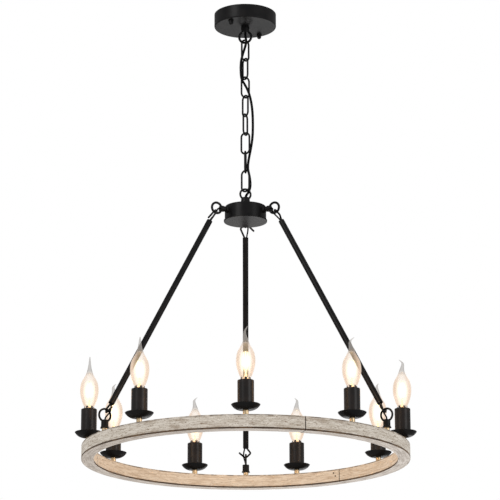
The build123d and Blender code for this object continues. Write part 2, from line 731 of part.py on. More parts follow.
with BuildPart() as drip_cup:
    with BuildSketch(candle_plane):
        with BuildLine():
            Polyline(
                (CUP_BASE_R, cup_floor_z),
                (STEM_R + INNER_GAP, cup_floor_z),
                (STEM_R + INNER_GAP, cup_base_z),
                (CUP_BASE_R, cup_base_z),
            )
            ThreePointArc(
                (CUP_BASE_R, cup_base_z),
                (CUP_R * 0.76, cup_base_z + CUP_DEPTH * 0.32),
                (CUP_R, cup_rim_z),
            )
            Line((CUP_R, cup_rim_z), (CUP_R - 0.9, cup_rim_z + 0.7))
            ThreePointArc(
                (CUP_R - 0.9, cup_rim_z + 0.7),
                (CUP_R * 0.73, cup_floor_z + CUP_DEPTH * 0.31),
                (CUP_BASE_R, cup_floor_z),
            )
        make_face()
    revolve(axis=candle_axis)
keep(around(drip_cup.part, CANDLE_COUNT), "drip_cups")

SLEEVE_WALL = 1.4
SLEEVE_FOOT_Z = -887.4
with BuildPart() as candle_sleeve:
    with BuildSketch(candle_plane):
        with BuildLine():
            Polyline(
                (SLEEVE_R, SLEEVE_FOOT_Z),
                (SLEEVE_R, SLEEVE_TOP_Z),
                (SOCKET_R + INNER_GAP, SLEEVE_TOP_Z),
                (SOCKET_R + INNER_GAP, SLEEVE_TOP_Z - SLEEVE_WALL),
                (SLEEVE_R - SLEEVE_WALL, SLEEVE_TOP_Z - SLEEVE_WALL),
                (SLEEVE_R - SLEEVE_WALL, SLEEVE_FOOT_Z),
                close=True,
            )
        make_face()
    revolve(axis=candle_axis)
    fillet(candle_sleeve.edges().group_by(Axis.Z)[-1].sort_by(SortBy.RADIUS)[-1], 1.2)
keep(around(candle_sleeve.part, CANDLE_COUNT), "candle_sleeves")

# Lamp sockets: a tube with a notched crown that shows above the sleeve, screwed to the nipple

SOCKET_FOOT_Z = -881.0
SOCKET_FLOOR_Z = -858.0
CROWN_FOOT_Z = -837.0
CROWN_NOTCH = (5.2, 3.6)  # width, depth
SOCKET_BORE_R = BULB_BASE_R + 0.6
NIPPLE_TOP_Z = -868.0
with BuildPart() as lamp_socket:
    with BuildSketch(Plane(near(RING_MID_R, SOCKET_FOOT_Z))):
        Circle(SOCKET_R)
    extrude(amount=SOCKET_TOP_Z - SOCKET_FOOT_Z)
    with BuildSketch(Plane(near(RING_MID_R, SOCKET_FLOOR_Z))):
        Circle(SOCKET_BORE_R)
    extrude(amount=SOCKET_TOP_Z - SOCKET_FLOOR_Z, mode=Mode.SUBTRACT)
    with BuildSketch(Plane(near(RING_MID_R, CROWN_FOOT_Z))):
        Circle(SOCKET_R - 1.0)
    extrude(amount=SOCKET_TOP_Z - CROWN_FOOT_Z, mode=Mode.SUBTRACT)
    with BuildSketch(Plane(near(RING_MID_R, SOCKET_FOOT_Z))):
        Circle(STEM_R)
    extrude(amount=NIPPLE_TOP_Z - SOCKET_FOOT_Z, mode=Mode.SUBTRACT)
    with BuildSketch(Plane(near(RING_MID_R, SOCKET_TOP_Z))):
        with PolarLocations(0, 3):
            Rectangle(2 * SOCKET_R + 2, CROWN_NOTCH[0])
    extrude(amount=-CROWN_NOTCH[1], mode=Mode.SUBTRACT)
keep(around(lamp_socket.part, CANDLE_COUNT), "lamp_sockets")

with BuildPart() as candle_nipple:
    with BuildSketch(Plane(near(RING_MID_R, STEM_END_Z))):
        Circle(STEM_R)
        Circle(STEM_R - 1, mode=Mode.SUBTRACT)
    extrude(amount=NIPPLE_TOP_Z - STEM_END_Z)
keep(around(candle_nipple.part, CANDLE_COUNT), "candle_nipples")

with BuildPart() as candle_nuts:
    add(stem_nut)
    add(hexagon_nut(Plane(near(RING_MID_R, cup_floor_z)), 10, 3, STEM_R))
keep(around(candle_nuts.part, CANDLE_COUNT), "candle_nuts")

# Bulbs: flame-shaped glass with a bent tip, cemented over a screw base that carries the filaments

BASE_TOP_Z = -835.5
BASE_FOOT_Z = -853.0
BASE_BEVEL = 2.0
CONTACT_R = 3.5
CONTACT_Z = -856.0
GLASS_WALL = 1.0
GLASS_FOOT_Z = BASE_TOP_Z + 0.1
GLASS_FOOT_R = 7.2
COLLAR = (8.2, -829.2)
FLARE = (10.4, -828.3)
BELLY_LOW = (15.5, -815.0)
BELLY = (BULB_R, -799.0)
BELLY_HIGH = (15.9, -782.0)
SHOULDER = (9.6, -770.0)
NECK = (5.0, -759.0)
TIP_BEND_Z = -746.5
FILAMENTS = 4
FILAMENT_R = 0.9
FILAMENT_CIRCLE_R = 3.8
FILAMENT_TOP_Z = -781.0
FILAMENT_FOOT_Z = -814.0
GLASS_STEM_R = 1.2
SUPPORT_DISC_R = 5.0
SUPPORT_DISC_THICKNESS = 1.0


def inside(point, rise):
    """Point of the glass's inner face beside one of its outer face."""
    return (point[0] - GLASS_WALL, point[1] + rise)


def blown_glass(curl, end_z):
    """Flame-shaped shell with a solid drawn tip that leans back, then curls over towards +X."""
    tip_sections = (
        (0, NECK[1], NECK[0]),
        (-0.25 * curl, (NECK[1] + TIP_BEND_Z) / 2, 3.5),
        (-0.5 * curl, TIP_BEND_Z, 2.5),
        (-0.15 * curl, (TIP_BEND_Z + end_z) / 2, 1.7),
        (curl, end_z, 0.8),
    )
    with BuildPart() as glass:
        with BuildSketch(Plane.XZ):
            with BuildLine():
                Polyline((GLASS_FOOT_R, GLASS_FOOT_Z), COLLAR, FLARE)
                ThreePointArc(FLARE, BELLY_LOW, BELLY)
                ThreePointArc(BELLY, BELLY_HIGH, SHOULDER)
                Polyline(SHOULDER, NECK, (0, NECK[1]), (0, NECK[1] - GLASS_WALL))
                Polyline((0, NECK[1] - GLASS_WALL), inside(NECK, -GLASS_WALL), inside(SHOULDER, -0.4))
                ThreePointArc(inside(SHOULDER, -0.4), inside(BELLY_HIGH, -0.4), inside(BELLY, 0))
                ThreePointArc(inside(BELLY, 0), inside(BELLY_LOW, 0.3), inside(FLARE, 0.5))
                Polyline(
                    inside(FLARE, 0.5),
                    inside(COLLAR, 0.5),
                    (GLASS_FOOT_R - GLASS_WALL, GLASS_FOOT_Z),
                    (GLASS_FOOT_R, GLASS_FOOT_Z),
                )
            make_face()
        revolve(axis=Axis.Z)
        for across, height, radius in tip_sections:
            with BuildSketch(Plane((across, 0, height))):
                Circle(radius)
        loft()
    return glass.part


with BuildPart() as bulb_base:
    with BuildSketch(Plane.XZ):
        with BuildLine():
            Polyline(
                (0, BASE_TOP_Z),
                (BULB_BASE_R, BASE_TOP_Z),
                (BULB_BASE_R, BASE_FOOT_Z + BASE_BEVEL),
                (CONTACT_R, BASE_FOOT_Z),
                (CONTACT_R, CONTACT_Z),
                (0, CONTACT_Z),
                close=True,
            )
        make_face()
    revolve(axis=Axis.Z)
    with BuildSketch(Plane.XY.offset(BASE_TOP_Z)):
        Circle(GLASS_STEM_R)
    extrude(amount=FILAMENT_TOP_Z - BASE_TOP_Z)
    with BuildSketch(Plane.XY.offset(FILAMENT_FOOT_Z)):
        Circle(SUPPORT_DISC_R)
    extrude(amount=-SUPPORT_DISC_THICKNESS)
    with BuildSketch(Plane.XY.offset(FILAMENT_TOP_Z)):
        Circle(SUPPORT_DISC_R)
    extrude(amount=SUPPORT_DISC_THICKNESS)
    with BuildSketch(Plane.XY.offset(FILAMENT_FOOT_Z)):
        with PolarLocations(FILAMENT_CIRCLE_R, FILAMENTS):
            Circle(FILAMENT_R)
    extrude(amount=FILAMENT_TOP_Z - FILAMENT_FOOT_Z)

for number, (bend_turn, curl, end_z) in enumerate(BULB_TIPS):
    place = outward(candle_turns[number]) * RING_MID_R
    with BuildPart() as bulb:
        with Locations(Location((place.X, place.Y, 0), (0, 0, bend_turn))):
            add(blown_glass(curl, end_z))
            add(bulb_base.part)
    keep(bulb.part, f"bulb_{number + 1}")
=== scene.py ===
import json
from math import cos, pi, radians, sin

import bmesh
import bpy
from mathutils import Matrix, Vector


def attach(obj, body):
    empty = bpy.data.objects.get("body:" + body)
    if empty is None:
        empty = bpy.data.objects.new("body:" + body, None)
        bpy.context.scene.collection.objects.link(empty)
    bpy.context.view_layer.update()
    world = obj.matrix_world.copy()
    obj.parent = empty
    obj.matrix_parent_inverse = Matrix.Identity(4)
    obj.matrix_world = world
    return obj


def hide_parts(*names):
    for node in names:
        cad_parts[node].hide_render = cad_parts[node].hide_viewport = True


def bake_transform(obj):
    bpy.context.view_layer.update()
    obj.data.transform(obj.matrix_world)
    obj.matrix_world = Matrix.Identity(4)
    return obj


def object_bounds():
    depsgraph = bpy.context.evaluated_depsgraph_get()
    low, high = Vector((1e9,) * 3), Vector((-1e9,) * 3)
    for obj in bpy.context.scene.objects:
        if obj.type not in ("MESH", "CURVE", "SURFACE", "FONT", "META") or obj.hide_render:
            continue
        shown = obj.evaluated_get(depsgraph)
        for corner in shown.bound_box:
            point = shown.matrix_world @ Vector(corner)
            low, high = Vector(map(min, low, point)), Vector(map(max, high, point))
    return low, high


# Wagon-wheel chandelier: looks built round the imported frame. Metres, +Z up, ceiling at zero.

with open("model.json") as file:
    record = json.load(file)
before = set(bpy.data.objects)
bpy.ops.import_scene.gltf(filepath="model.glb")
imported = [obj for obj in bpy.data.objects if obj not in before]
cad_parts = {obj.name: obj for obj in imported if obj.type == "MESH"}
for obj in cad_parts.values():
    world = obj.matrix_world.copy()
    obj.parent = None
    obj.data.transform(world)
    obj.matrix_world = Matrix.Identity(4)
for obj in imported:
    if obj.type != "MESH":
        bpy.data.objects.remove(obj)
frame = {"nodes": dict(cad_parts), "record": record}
cad_low, cad_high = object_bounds()
nodes = frame["nodes"]
scene = bpy.context.scene
MM = 0.001

# Sizes shared with the solids

RING_MID_R = 0.308
RING_INNER_R = 0.296
RING_TOP_Z = -0.900
STRIP_TOP_Z = -0.9245
RING_BOTTOM_Z = -0.927
CANDLES = 9
ARMS = 3
FIRST_ARM_TURN = 60
SEGMENTS = 3
SEAM_TURN = 260  # the seam where the grain's coordinate wraps round
LINKS = 8
FIRST_LINK_Z = -77.4 * MM
LINK_PITCH = 39.8 * MM
CENTRE = Vector((0, 0, (cad_low.z + cad_high.z) / 2))


def outward(turn):
    """Level direction at an angle from the near side towards +X."""
    return Vector((sin(radians(turn)), -cos(radians(turn)), 0))


# Camera: fitted to the ring, hub, canopy and candles

CAMERA_PLACE = Vector((0, -4.6968, -1.8158))
CAMERA_PITCH = radians(15.65)
CAMERA_YAW = radians(0.109)
CAMERA_ROLL = radians(0.114)
SENSOR = 36.0
FOCAL_PIXELS = 2445.95
PHOTO_PIXELS = 500


def add_camera():
    """Camera at the photograph's place, angle and focal length."""
    data = bpy.data.cameras.new("camera")
    data.sensor_width = SENSOR
    data.lens = FOCAL_PIXELS / PHOTO_PIXELS * SENSOR
    data.clip_end = 60
    camera = bpy.data.objects.new("camera", data)
    scene.collection.objects.link(camera)
    level = Vector((sin(CAMERA_YAW), cos(CAMERA_YAW), 0))
    side = Vector((cos(CAMERA_YAW), -sin(CAMERA_YAW), 0))
    rise = -sin(CAMERA_PITCH) * level + Vector((0, 0, cos(CAMERA_PITCH)))
    ahead = cos(CAMERA_PITCH) * level + Vector((0, 0, sin(CAMERA_PITCH)))
    right = cos(CAMERA_ROLL) * side - sin(CAMERA_ROLL) * rise
    above = sin(CAMERA_ROLL) * side + cos(CAMERA_ROLL) * rise
    turned = Matrix((right, above, -ahead)).transposed().to_4x4()
    camera.matrix_world = Matrix.Translation(CAMERA_PLACE) @ turned
    scene.camera = camera


# Node helpers


class Shading:
    """A material with one Principled shader, and short ways to add nodes to it."""

    def __init__(self, name, **values):
        self.material = bpy.data.materials.new(name)
        self.material.use_nodes = True
        self.tree = self.material.node_tree
        self.shader = self.tree.nodes["Principled BSDF"]
        self.output = self.tree.nodes["Material Output"]
        for socket, value in values.items():
            self.shader.inputs[socket.replace("_", " ")].default_value = value

    def node(self, kind, **settings):
        """New node with its settings made."""
        made = self.tree.nodes.new(kind)
        for key, value in settings.items():
            setattr(made, key, value)
        return made

    def put(self, socket, value):
        """Link a socket's source, or set a plain value."""
        if isinstance(value, bpy.types.NodeSocket):
            self.tree.links.new(value, socket)
        else:
            socket.default_value = value

    def maths(self, operation, first, second=0.0, third=0.0):
        """Result of a Math node."""
        made = self.node("ShaderNodeMath", operation=operation)
        for socket, value in zip(made.inputs, (first, second, third)):
            self.put(socket, value)
        return made.outputs[0]

    def product(self, first, second):
        """One value times another."""
        return self.maths("MULTIPLY", first, second)

    def from_axis(self, x, y):
        """Level distance from the chandelier's axis."""
        return self.maths("SQRT", self.maths("ADD", self.product(x, x), self.product(y, y)))

    def place(self):
        """The piece's own coordinates, which are the frame's."""
        return self.node("ShaderNodeTexCoord").outputs["Object"]

    def parts(self, vector):
        """X, Y and Z of a vector."""
        made = self.node("ShaderNodeSeparateXYZ")
        self.put(made.inputs[0], vector)
        return made.outputs

    def joined(self, x, y, z):
        """Vector from three values."""
        made = self.node("ShaderNodeCombineXYZ")
        for socket, value in zip(made.inputs, (x, y, z)):
            self.put(socket, value)
        return made.outputs[0]

    def stretched(self, vector, x, y, z):
        """A vector times a scale on each axis."""
        made = self.node("ShaderNodeVectorMath", operation="MULTIPLY")
        self.put(made.inputs[0], vector)
        made.inputs[1].default_value = (x, y, z)
        return made.outputs[0]

    def noise(self, vector, scale=1.0, detail=3.0, roughness=0.55, distortion=0.0):
        """Noise from 0 to 1."""
        made = self.node("ShaderNodeTexNoise")
        self.put(made.inputs["Vector"], vector)
        made.inputs["Scale"].default_value = scale
        made.inputs["Detail"].default_value = detail
        made.inputs["Roughness"].default_value = roughness
        made.inputs["Distortion"].default_value = distortion
        return made.outputs["Fac"]

    def between(self, value, low, high, to_low=0.0, to_high=1.0):
        """A value's smooth step from low to high."""
        made = self.node("ShaderNodeMapRange", interpolation_type="SMOOTHSTEP")
        for socket, number in zip(made.inputs, (value, low, high, to_low, to_high)):
            self.put(socket, number)
        return made.outputs[0]

    def mix(self, share, first, second):
        """Colour between two colours."""
        made = self.node("ShaderNodeMix", data_type="RGBA")
        self.put(made.inputs["Factor"], share)
        self.put(made.inputs[6], first)
        self.put(made.inputs[7], second)
        return made.outputs[2]

    def bump(self, height, strength, depth):
        """Normal from a height, with its depth in metres."""
        made = self.node("ShaderNodeBump")
        self.put(made.inputs["Height"], height)
        made.inputs["Strength"].default_value = strength
        made.inputs["Distance"].default_value = depth
        self.put(self.shader.inputs["Normal"], made.outputs[0])

    def colour(self, value):
        """Set or link the base colour."""
        self.put(self.shader.inputs["Base Color"], value)

    def roughness(self, value):
        """Set or link the roughness."""
        self.put(self.shader.inputs["Roughness"], value)


def tone(red, green, blue):
    """Colour from screen values of 0 to 255."""
    levels = (red, green, blue)
    linear = tuple(((c / 255 + 0.055) / 1.055) ** 2.4 if c > 10 else c / 255 / 12.92 for c in levels)
    return linear + (1.0,)


# Materials


def black_metal(name, dark, light, gloss=0.10):
    """Satin powder coat: near black, with a fine orange-peel surface under a thin clear gloss."""
    paint = Shading(name, Specular_IOR_Level=0.0, Coat_Weight=gloss, Coat_Roughness=0.32)
    place = paint.place()
    cloud = paint.noise(place, 45, 4)
    grain = paint.noise(place, 1600, 2)
    paint.colour(paint.mix(paint.between(cloud, 0.35, 0.7), dark, light))
    paint.roughness(paint.between(cloud, 0.3, 0.7, 0.50, 0.62))
    paint.bump(grain, 0.12, 0.00008)
    return paint.material


def whitewashed_wood(name):
    """Limed wood: pale wash over brown grain that runs round the ring, worn dark along its top edges, with
    a dark line at its foot and a warm tan painted on the inner face as light from the bulbs.
    """
    wood = Shading(name, Specular_IOR_Level=0.28)
    turned = wood.node("ShaderNodeVectorRotate", rotation_type="Z_AXIS")
    wood.put(turned.inputs["Vector"], wood.place())
    turned.inputs["Angle"].default_value = radians(180 - (SEAM_TURN - 90))
    x, y, z = wood.parts(turned.outputs[0])
    angle = wood.maths("ARCTAN2", y, x)
    radius = wood.from_axis(x, y)
    along = wood.joined(wood.product(angle, RING_MID_R), z, radius)

    patch = wood.noise(wood.stretched(along, 4.5, 22, 22), 1, 2)
    mottle = wood.noise(wood.stretched(along, 30, 110, 110), 1, 4, 0.65)
    grain = wood.noise(wood.stretched(along, 30, 430, 430), 1, 6, 0.65, 0.4)
    fine = wood.noise(wood.stretched(along, 110, 1500, 1500), 1, 3, 0.6)
    marks = wood.noise(wood.stretched(along, 95, 400, 400), 1, 5, 0.75, 0.8)
    speck = wood.noise(wood.stretched(along, 420, 700, 700), 1, 3, 0.65)

    pale, wash, brown, dark = tone(228, 220, 208), tone(196, 186, 171), tone(138, 117, 96), tone(72, 56, 42)
    aged = wood.between(patch, 0.42, 0.68)
    face = wood.mix(wood.between(grain, 0.40, 0.64), pale, wash)
    face = wood.mix(wood.product(wood.between(fine, 0.48, 0.76), 0.45), face, brown)
    face = wood.mix(wood.product(aged, wood.between(mottle, 0.44, 0.62, 0.10, 0.62)), face, brown)
    face = wood.mix(wood.product(wood.between(marks, 0.52, 0.62), 0.85), face, brown)
    deep = wood.product(wood.between(marks, 0.61, 0.70), wood.between(aged, 0.0, 0.8, 0.25, 0.9))
    face = wood.mix(deep, face, dark)
    face = wood.mix(wood.product(wood.between(speck, 0.57, 0.66), 0.60), face, dark)

    # Inner face: the grain, marks and flecks are the wood's own, on a warm tan that is painted light from
    # the bulbs.
    inner_painted_warmth = wood.mix(wood.between(grain, 0.38, 0.68), tone(226, 209, 187), tone(196, 173, 147))
    inner_painted_warmth = wood.mix(wood.product(wood.between(marks, 0.52, 0.64), 0.55), inner_painted_warmth, tone(150, 122, 94))
    inner_painted_warmth = wood.mix(wood.product(wood.between(speck, 0.60, 0.74), 0.35), inner_painted_warmth, tone(240, 226, 206))
    inner = wood.between(radius, RING_INNER_R + 0.0003, RING_INNER_R + 0.0012, 1, 0)
    face = wood.mix(inner, face, inner_painted_warmth)

    break_up = wood.between(wood.noise(wood.stretched(along, 45, 60, 60), 1, 4, 0.65), 0.32, 0.60)
    top_edge = wood.between(z, RING_TOP_Z - 0.0030, RING_TOP_Z - 0.0014)
    on_top = wood.between(z, RING_TOP_Z - 0.00025, RING_TOP_Z - 0.00005, 1, 0)
    edge = wood.product(wood.product(top_edge, on_top), wood.product(break_up, 0.85))
    face = wood.mix(edge, face, dark)

    # A dark line along the wall's foot, just above the bottom strip, broken up by noise.
    foot_line = wood.between(z, STRIP_TOP_Z + 0.0002, STRIP_TOP_Z + 0.0014, 1, 0)
    underside = wood.between(z, RING_BOTTOM_Z + 0.0001, RING_BOTTOM_Z + 0.0006, 1, 0)
    foot_line_colour = wood.mix(break_up, tone(108, 84, 60), tone(62, 46, 34))
    below = wood.mix(wood.between(grain, 0.38, 0.70), tone(184, 172, 159), tone(138, 124, 111))
    face = wood.mix(foot_line, face, foot_line_colour)
    face = wood.mix(underside, face, below)
    turns = wood.maths("MULTIPLY_ADD", angle, SEGMENTS / (2 * pi), 0.5)
    aside = wood.product(wood.maths("PINGPONG", turns, 0.5), 2 * pi * RING_MID_R / SEGMENTS)
    face = wood.mix(wood.between(aside, 0.0006, 0.0013, 0.92, 0), face, tone(54, 41, 31))
    wood.colour(face)
    wood.roughness(wood.between(grain, 0.3, 0.7, 0.58, 0.78))
    relief = wood.maths("ADD", wood.product(grain, 0.7), wood.product(fine, 0.5))
    wood.bump(relief, 0.55, 0.0006)
    return wood.material


def plain_plastic(name, first, second, roughness, scale=300):
    """Moulded plastic with slight colour variation and a fine surface."""
    plastic = Shading(name, Specular_IOR_Level=0.4)
    place = plastic.place()
    cloud = plastic.noise(place, scale, 3)
    plastic.colour(plastic.mix(plastic.between(cloud, 0.3, 0.7), first, second))
    plastic.roughness(plastic.between(cloud, 0.3, 0.7, roughness - 0.05, roughness + 0.06))
    plastic.bump(plastic.noise(place, 3000, 2), 0.2, 0.0001)
    return plastic.material


def plated_metal(name, first, second, roughness):
    """Plated metal with brushed variation round the vertical."""
    metal = Shading(name, Metallic=1.0)
    place = metal.place()
    streaks = metal.noise(metal.stretched(place, 250, 250, 1800), 1, 3)
    metal.colour(metal.mix(metal.between(streaks, 0.3, 0.7), first, second))
    metal.roughness(metal.between(streaks, 0.3, 0.7, roughness - 0.06, roughness + 0.08))
    metal.bump(streaks, 0.15, 0.0001)
    return metal.material


# heights on the glass between which its look and its painted glow change
HEART_STARTS_Z = (-0.830, -0.808)
HEART_ENDS_Z = (-0.790, -0.773)
RIM_THINS_Z = (-0.792, -0.768)
TIP_STARTS_Z = (-0.773, -0.757)


def bulb_glass(name):
    """Clear blown glass whose light from inside is painted on as emission: a bright painted glow in its
    heart, peach edge on, smoky in the drawn tip.
    """
    glass = Shading(name, Roughness=0.25, Specular_IOR_Level=0.12)
    glass.colour(tone(40, 36, 32))
    height = glass.parts(glass.place())[2]
    weight = glass.node("ShaderNodeLayerWeight")
    weight.inputs["Blend"].default_value = 0.5
    edge = weight.outputs["Facing"]
    rise = glass.between(height, *HEART_STARTS_Z, 0.12, 1)
    fade = glass.between(height, *HEART_ENDS_Z, 1, 0)
    # Painted glow of the filaments: strongest in the middle of the glass where it faces the eye, faint near
    # the foot.
    heart = glass.product(glass.product(rise, fade), glass.between(edge, 0.04, 0.27, 1, 0))
    tip = glass.between(height, *TIP_STARTS_Z)
    ripple = glass.noise(glass.stretched(glass.place(), 70, 70, 28), 1, 2)
    peach = glass.mix(glass.between(ripple, 0.35, 0.65), tone(221, 194, 168), tone(232, 208, 186))
    # The glass's whole colour is emitted, as painted light from inside: warm where it faces the eye, peach
    # and then pale grey edge on, grey in the tip, near white in the heart.
    skin_painted_glow = glass.mix(glass.between(edge, 0.05, 0.35), tone(255, 222, 164), peach)
    skin_painted_glow = glass.mix(glass.between(edge, 0.50, 0.85), skin_painted_glow, tone(200, 184, 168))
    skin_painted_glow = glass.mix(tip, skin_painted_glow, glass.mix(edge, tone(160, 156, 151), tone(138, 134, 130)))
    glass.put(glass.shader.inputs["Emission Color"], glass.mix(heart, skin_painted_glow, tone(255, 248, 222)))
    glass.put(glass.shader.inputs["Emission Strength"], glass.maths("MULTIPLY_ADD", heart, 0.5, 1.0))
    thinned = glass.between(height, *RIM_THINS_Z, 1, 0.62)
    rim = glass.product(glass.between(edge, 0.05, 0.50, 0.06, 0.44), thinned)
    cover = glass.maths("MAXIMUM", glass.product(heart, 0.36), rim)
    smoke = glass.product(tip, glass.between(edge, 0.1, 0.7, 0.42, 0.70))
    cover = glass.maths("MAXIMUM", cover, smoke)
    clear = glass.node("ShaderNodeBsdfTransparent")
    mixed = glass.node("ShaderNodeMixShader")
    glass.put(mixed.inputs[0], cover)
    glass.tree.links.new(clear.outputs[0], mixed.inputs[1])
    glass.tree.links.new(glass.shader.outputs[0], mixed.inputs[2])
    glass.tree.links.new(mixed.outputs[0], glass.output.inputs["Surface"])
    return glass.material


def lit_filament(name):
    """Warm glowing filament, a little brighter in its middle."""
    lit = Shading(name)
    height = lit.parts(lit.place())[2]
    middle = lit.between(lit.noise(lit.joined(0.0, 0.0, height), 900, 1), 0.2, 0.8, 1.2, 1.9)
    lit.colour(tone(255, 226, 160))
    lit.shader.inputs["Emission Color"].default_value = tone(255, 236, 190)
    lit.put(lit.shader.inputs["Emission Strength"], middle)
    return lit.material


METAL = black_metal("black_metal", tone(15, 15, 16), tone(24, 23, 23), 0.16)
SLEEVE = black_metal("sleeve_metal", tone(20, 17, 16), tone(34, 27, 24), 0.30)
WOOD = whitewashed_wood("whitewashed_wood")
CORD = black_metal("black_cord", tone(11, 11, 12), tone(17, 17, 18), 0.06)
SPACER = plated_metal("cream_spacer", tone(196, 176, 144), tone(136, 114, 84), 0.30)
STEEL = plated_metal("zinc_steel", tone(190, 190, 186), tone(160, 160, 158), 0.35)
SCREW = plated_metal("screw_metal", tone(62, 54, 46), tone(44, 38, 32), 0.45)
GROUND = plated_metal("ground_brass", tone(80, 150, 96), tone(60, 120, 76), 0.4)
CONNECTOR = plain_plastic("connector_plastic", tone(206, 110, 48), tone(188, 96, 40), 0.45)
SOCKET = plain_plastic("socket_plastic", tone(34, 29, 26), tone(48, 40, 34), 0.35)
BASE_METAL = plated_metal("base_metal", tone(214, 190, 140), tone(188, 160, 108), 0.28)
GLASS = bulb_glass("bulb_glass")
FILAMENT = lit_filament("filament")
STEM_GLASS = plain_plastic("stem_glass", tone(246, 236, 214), tone(232, 220, 196), 0.2)

SLOT_LOOKS = {
    "black_metal": METAL,
    "zinc_steel": STEEL,
    "ground_brass": GROUND,
    "whitewashed_wood": WOOD,
    "black_cord": CORD,
    "cream_spacer": SPACER,
    "connector_plastic": CONNECTOR,
    "socket_plastic": SOCKET,
    "bulb_glass": GLASS,
}
NODE_LOOKS = {"candle_sleeves": SLEEVE, "ring_splice_screws": SCREW}


def dress_cad_nodes():
    """Give every carried-over solid the material of its slot."""
    for part in frame["record"]["subparts"]:
        look = SLOT_LOOKS[part["material_slot"]]
        look = NODE_LOOKS.get(part["node"], look)
        mesh = nodes[part["node"]].data
        mesh.materials.clear()
        mesh.materials.append(look)


# Mesh helpers


def piece(name, mesh, material, smooth=True):
    """New object from a mesh, in the frame's own coordinates."""
    mesh.materials.append(material)
    if smooth:
        mesh.shade_smooth()
    made = bpy.data.objects.new(name, mesh)
    scene.collection.objects.link(made)
    return made


def mesh_from(maker, name):
    """Mesh of all that the maker holds, which is then let go."""
    mesh = bpy.data.meshes.new(name)
    maker.to_mesh(mesh)
    maker.free()
    return mesh


def skin_between(maker, loops):
    """Faces from each loop of corners to the next one."""
    for low, high in zip(loops, loops[1:]):
        for k in range(len(low)):
            n = (k + 1) % len(low)
            maker.faces.new((low[k], low[n], high[n], high[k]))


def stacked_rings(maker, rings, sides, close_start, close_end):
    """Faces between rings of (centre, radius), with a point at each closed end."""
    spokes = [Vector((cos(2 * pi * k / sides), sin(2 * pi * k / sides), 0)) for k in range(sides)]
    loops = [[maker.verts.new(centre + radius * spoke) for spoke in spokes] for centre, radius in rings]
    skin_between(maker, loops)
    if close_start is not None:
        point = maker.verts.new(close_start)
        for k in range(sides):
            maker.faces.new((loops[0][(k + 1) % sides], loops[0][k], point))
    if close_end is not None:
        point = maker.verts.new(close_end)
        for k in range(sides):
            maker.faces.new((loops[-1][k], loops[-1][(k + 1) % sides], point))
    return loops


def smooth_line(points, steps):
    """Points on a smooth curve through the given ones."""
    ends = [2 * points[0] - points[1], *points, 2 * points[-1] - points[-2]]
    line = []
    for a, b, c, d in zip(ends, ends[1:], ends[2:], ends[3:]):
        for k in range(steps):
            t = k / steps
            square = (2 * a - 5 * b + 4 * c - d) * t**2
            cube = (3 * b - a - 3 * c + d) * t**3
            line.append(0.5 * (2 * b + (c - a) * t + square + cube))
    line.append(points[-1])
    return line


# Bulbs: blown glass with a drawn tip, lit filaments on a stem, and a threaded base

# turn of the tip's bend, how far it curls over, height of its end, in degrees and millimetres
BULB_TIPS = (
    (0, 3.5, -732.5),
    (0, 5.0, -737.0),
    (180, 4.5, -738.0),
    (0, 2.0, -739.0),
    (180, 3.0, -740.0),
    (0, 4.0, -738.0),
    (0, 3.5, -739.0),
    (90, 1.0, -731.0),
    (90, 1.5, -735.0),
)
GLASS_SIDES = 40
GLASS_WALL = 0.8
# height and radius, from the foot to the neck
GLASS_PROFILE = (
    (-835.3, 7.2), (-829.3, 8.2), (-828.2, 10.4), (-821.9, 13.2), (-815.0, 15.5),
    (-807.5, 17.3), (-799.0, 18.2), (-790.5, 17.7), (-782.0, 15.9), (-776.0, 13.0),
    (-770.0, 9.6), (-764.5, 6.9), (-759.0, 5.0),
)
TIP_BEND_Z = -746.5
BASE_SIDES = 32
BASE_R = 6.5
THREAD_DEPTH = 0.5
THREAD_PITCH = 2.6
THREAD_ROWS = 64
THREAD_EASE_ROWS = 8
BASE_TOP_Z = -835.5
BASE_FOOT_Z = -851.5
# height and radius, from the thread's foot to the contact
BASE_END = ((-852.8, 4.6), (-853.3, 3.4), (-855.3, 3.2), (-855.9, 2.2))
STEM_SIDES = 20
# height and radius, from the flared foot up
STEM_PROFILE = (
    (-835.2, 5.6), (-831.0, 4.4), (-826.0, 2.2), (-819.0, 1.4),
    (-800.0, 1.2), (-783.0, 1.2), (-780.2, 1.6),
)
STEM_FOOT = Vector((0, 0, -835.2))
STEM_TOP = Vector((0, 0, -779.2))
LOW_SUPPORT = Vector((0, 0, -816.0))
HIGH_SUPPORT = Vector((0, 0, -781.0))
SUPPORT_R = 0.3
SUPPORT_SIDES = 6
FILAMENTS = 4
FILAMENT_FOOT = Vector((3.0, 0, -813.5))
FILAMENT_TOP = Vector((3.9, 0, -781.5))
FILAMENT_R = 0.75


def bulb_place(number):
    """Matrix from a bulb's own millimetres to the frame."""
    middle = Matrix.Translation(outward(number * 360 / CANDLES) * RING_MID_R)
    return middle @ Matrix.Rotation(radians(BULB_TIPS[number][0]), 4, "Z") @ Matrix.Scale(MM, 4)


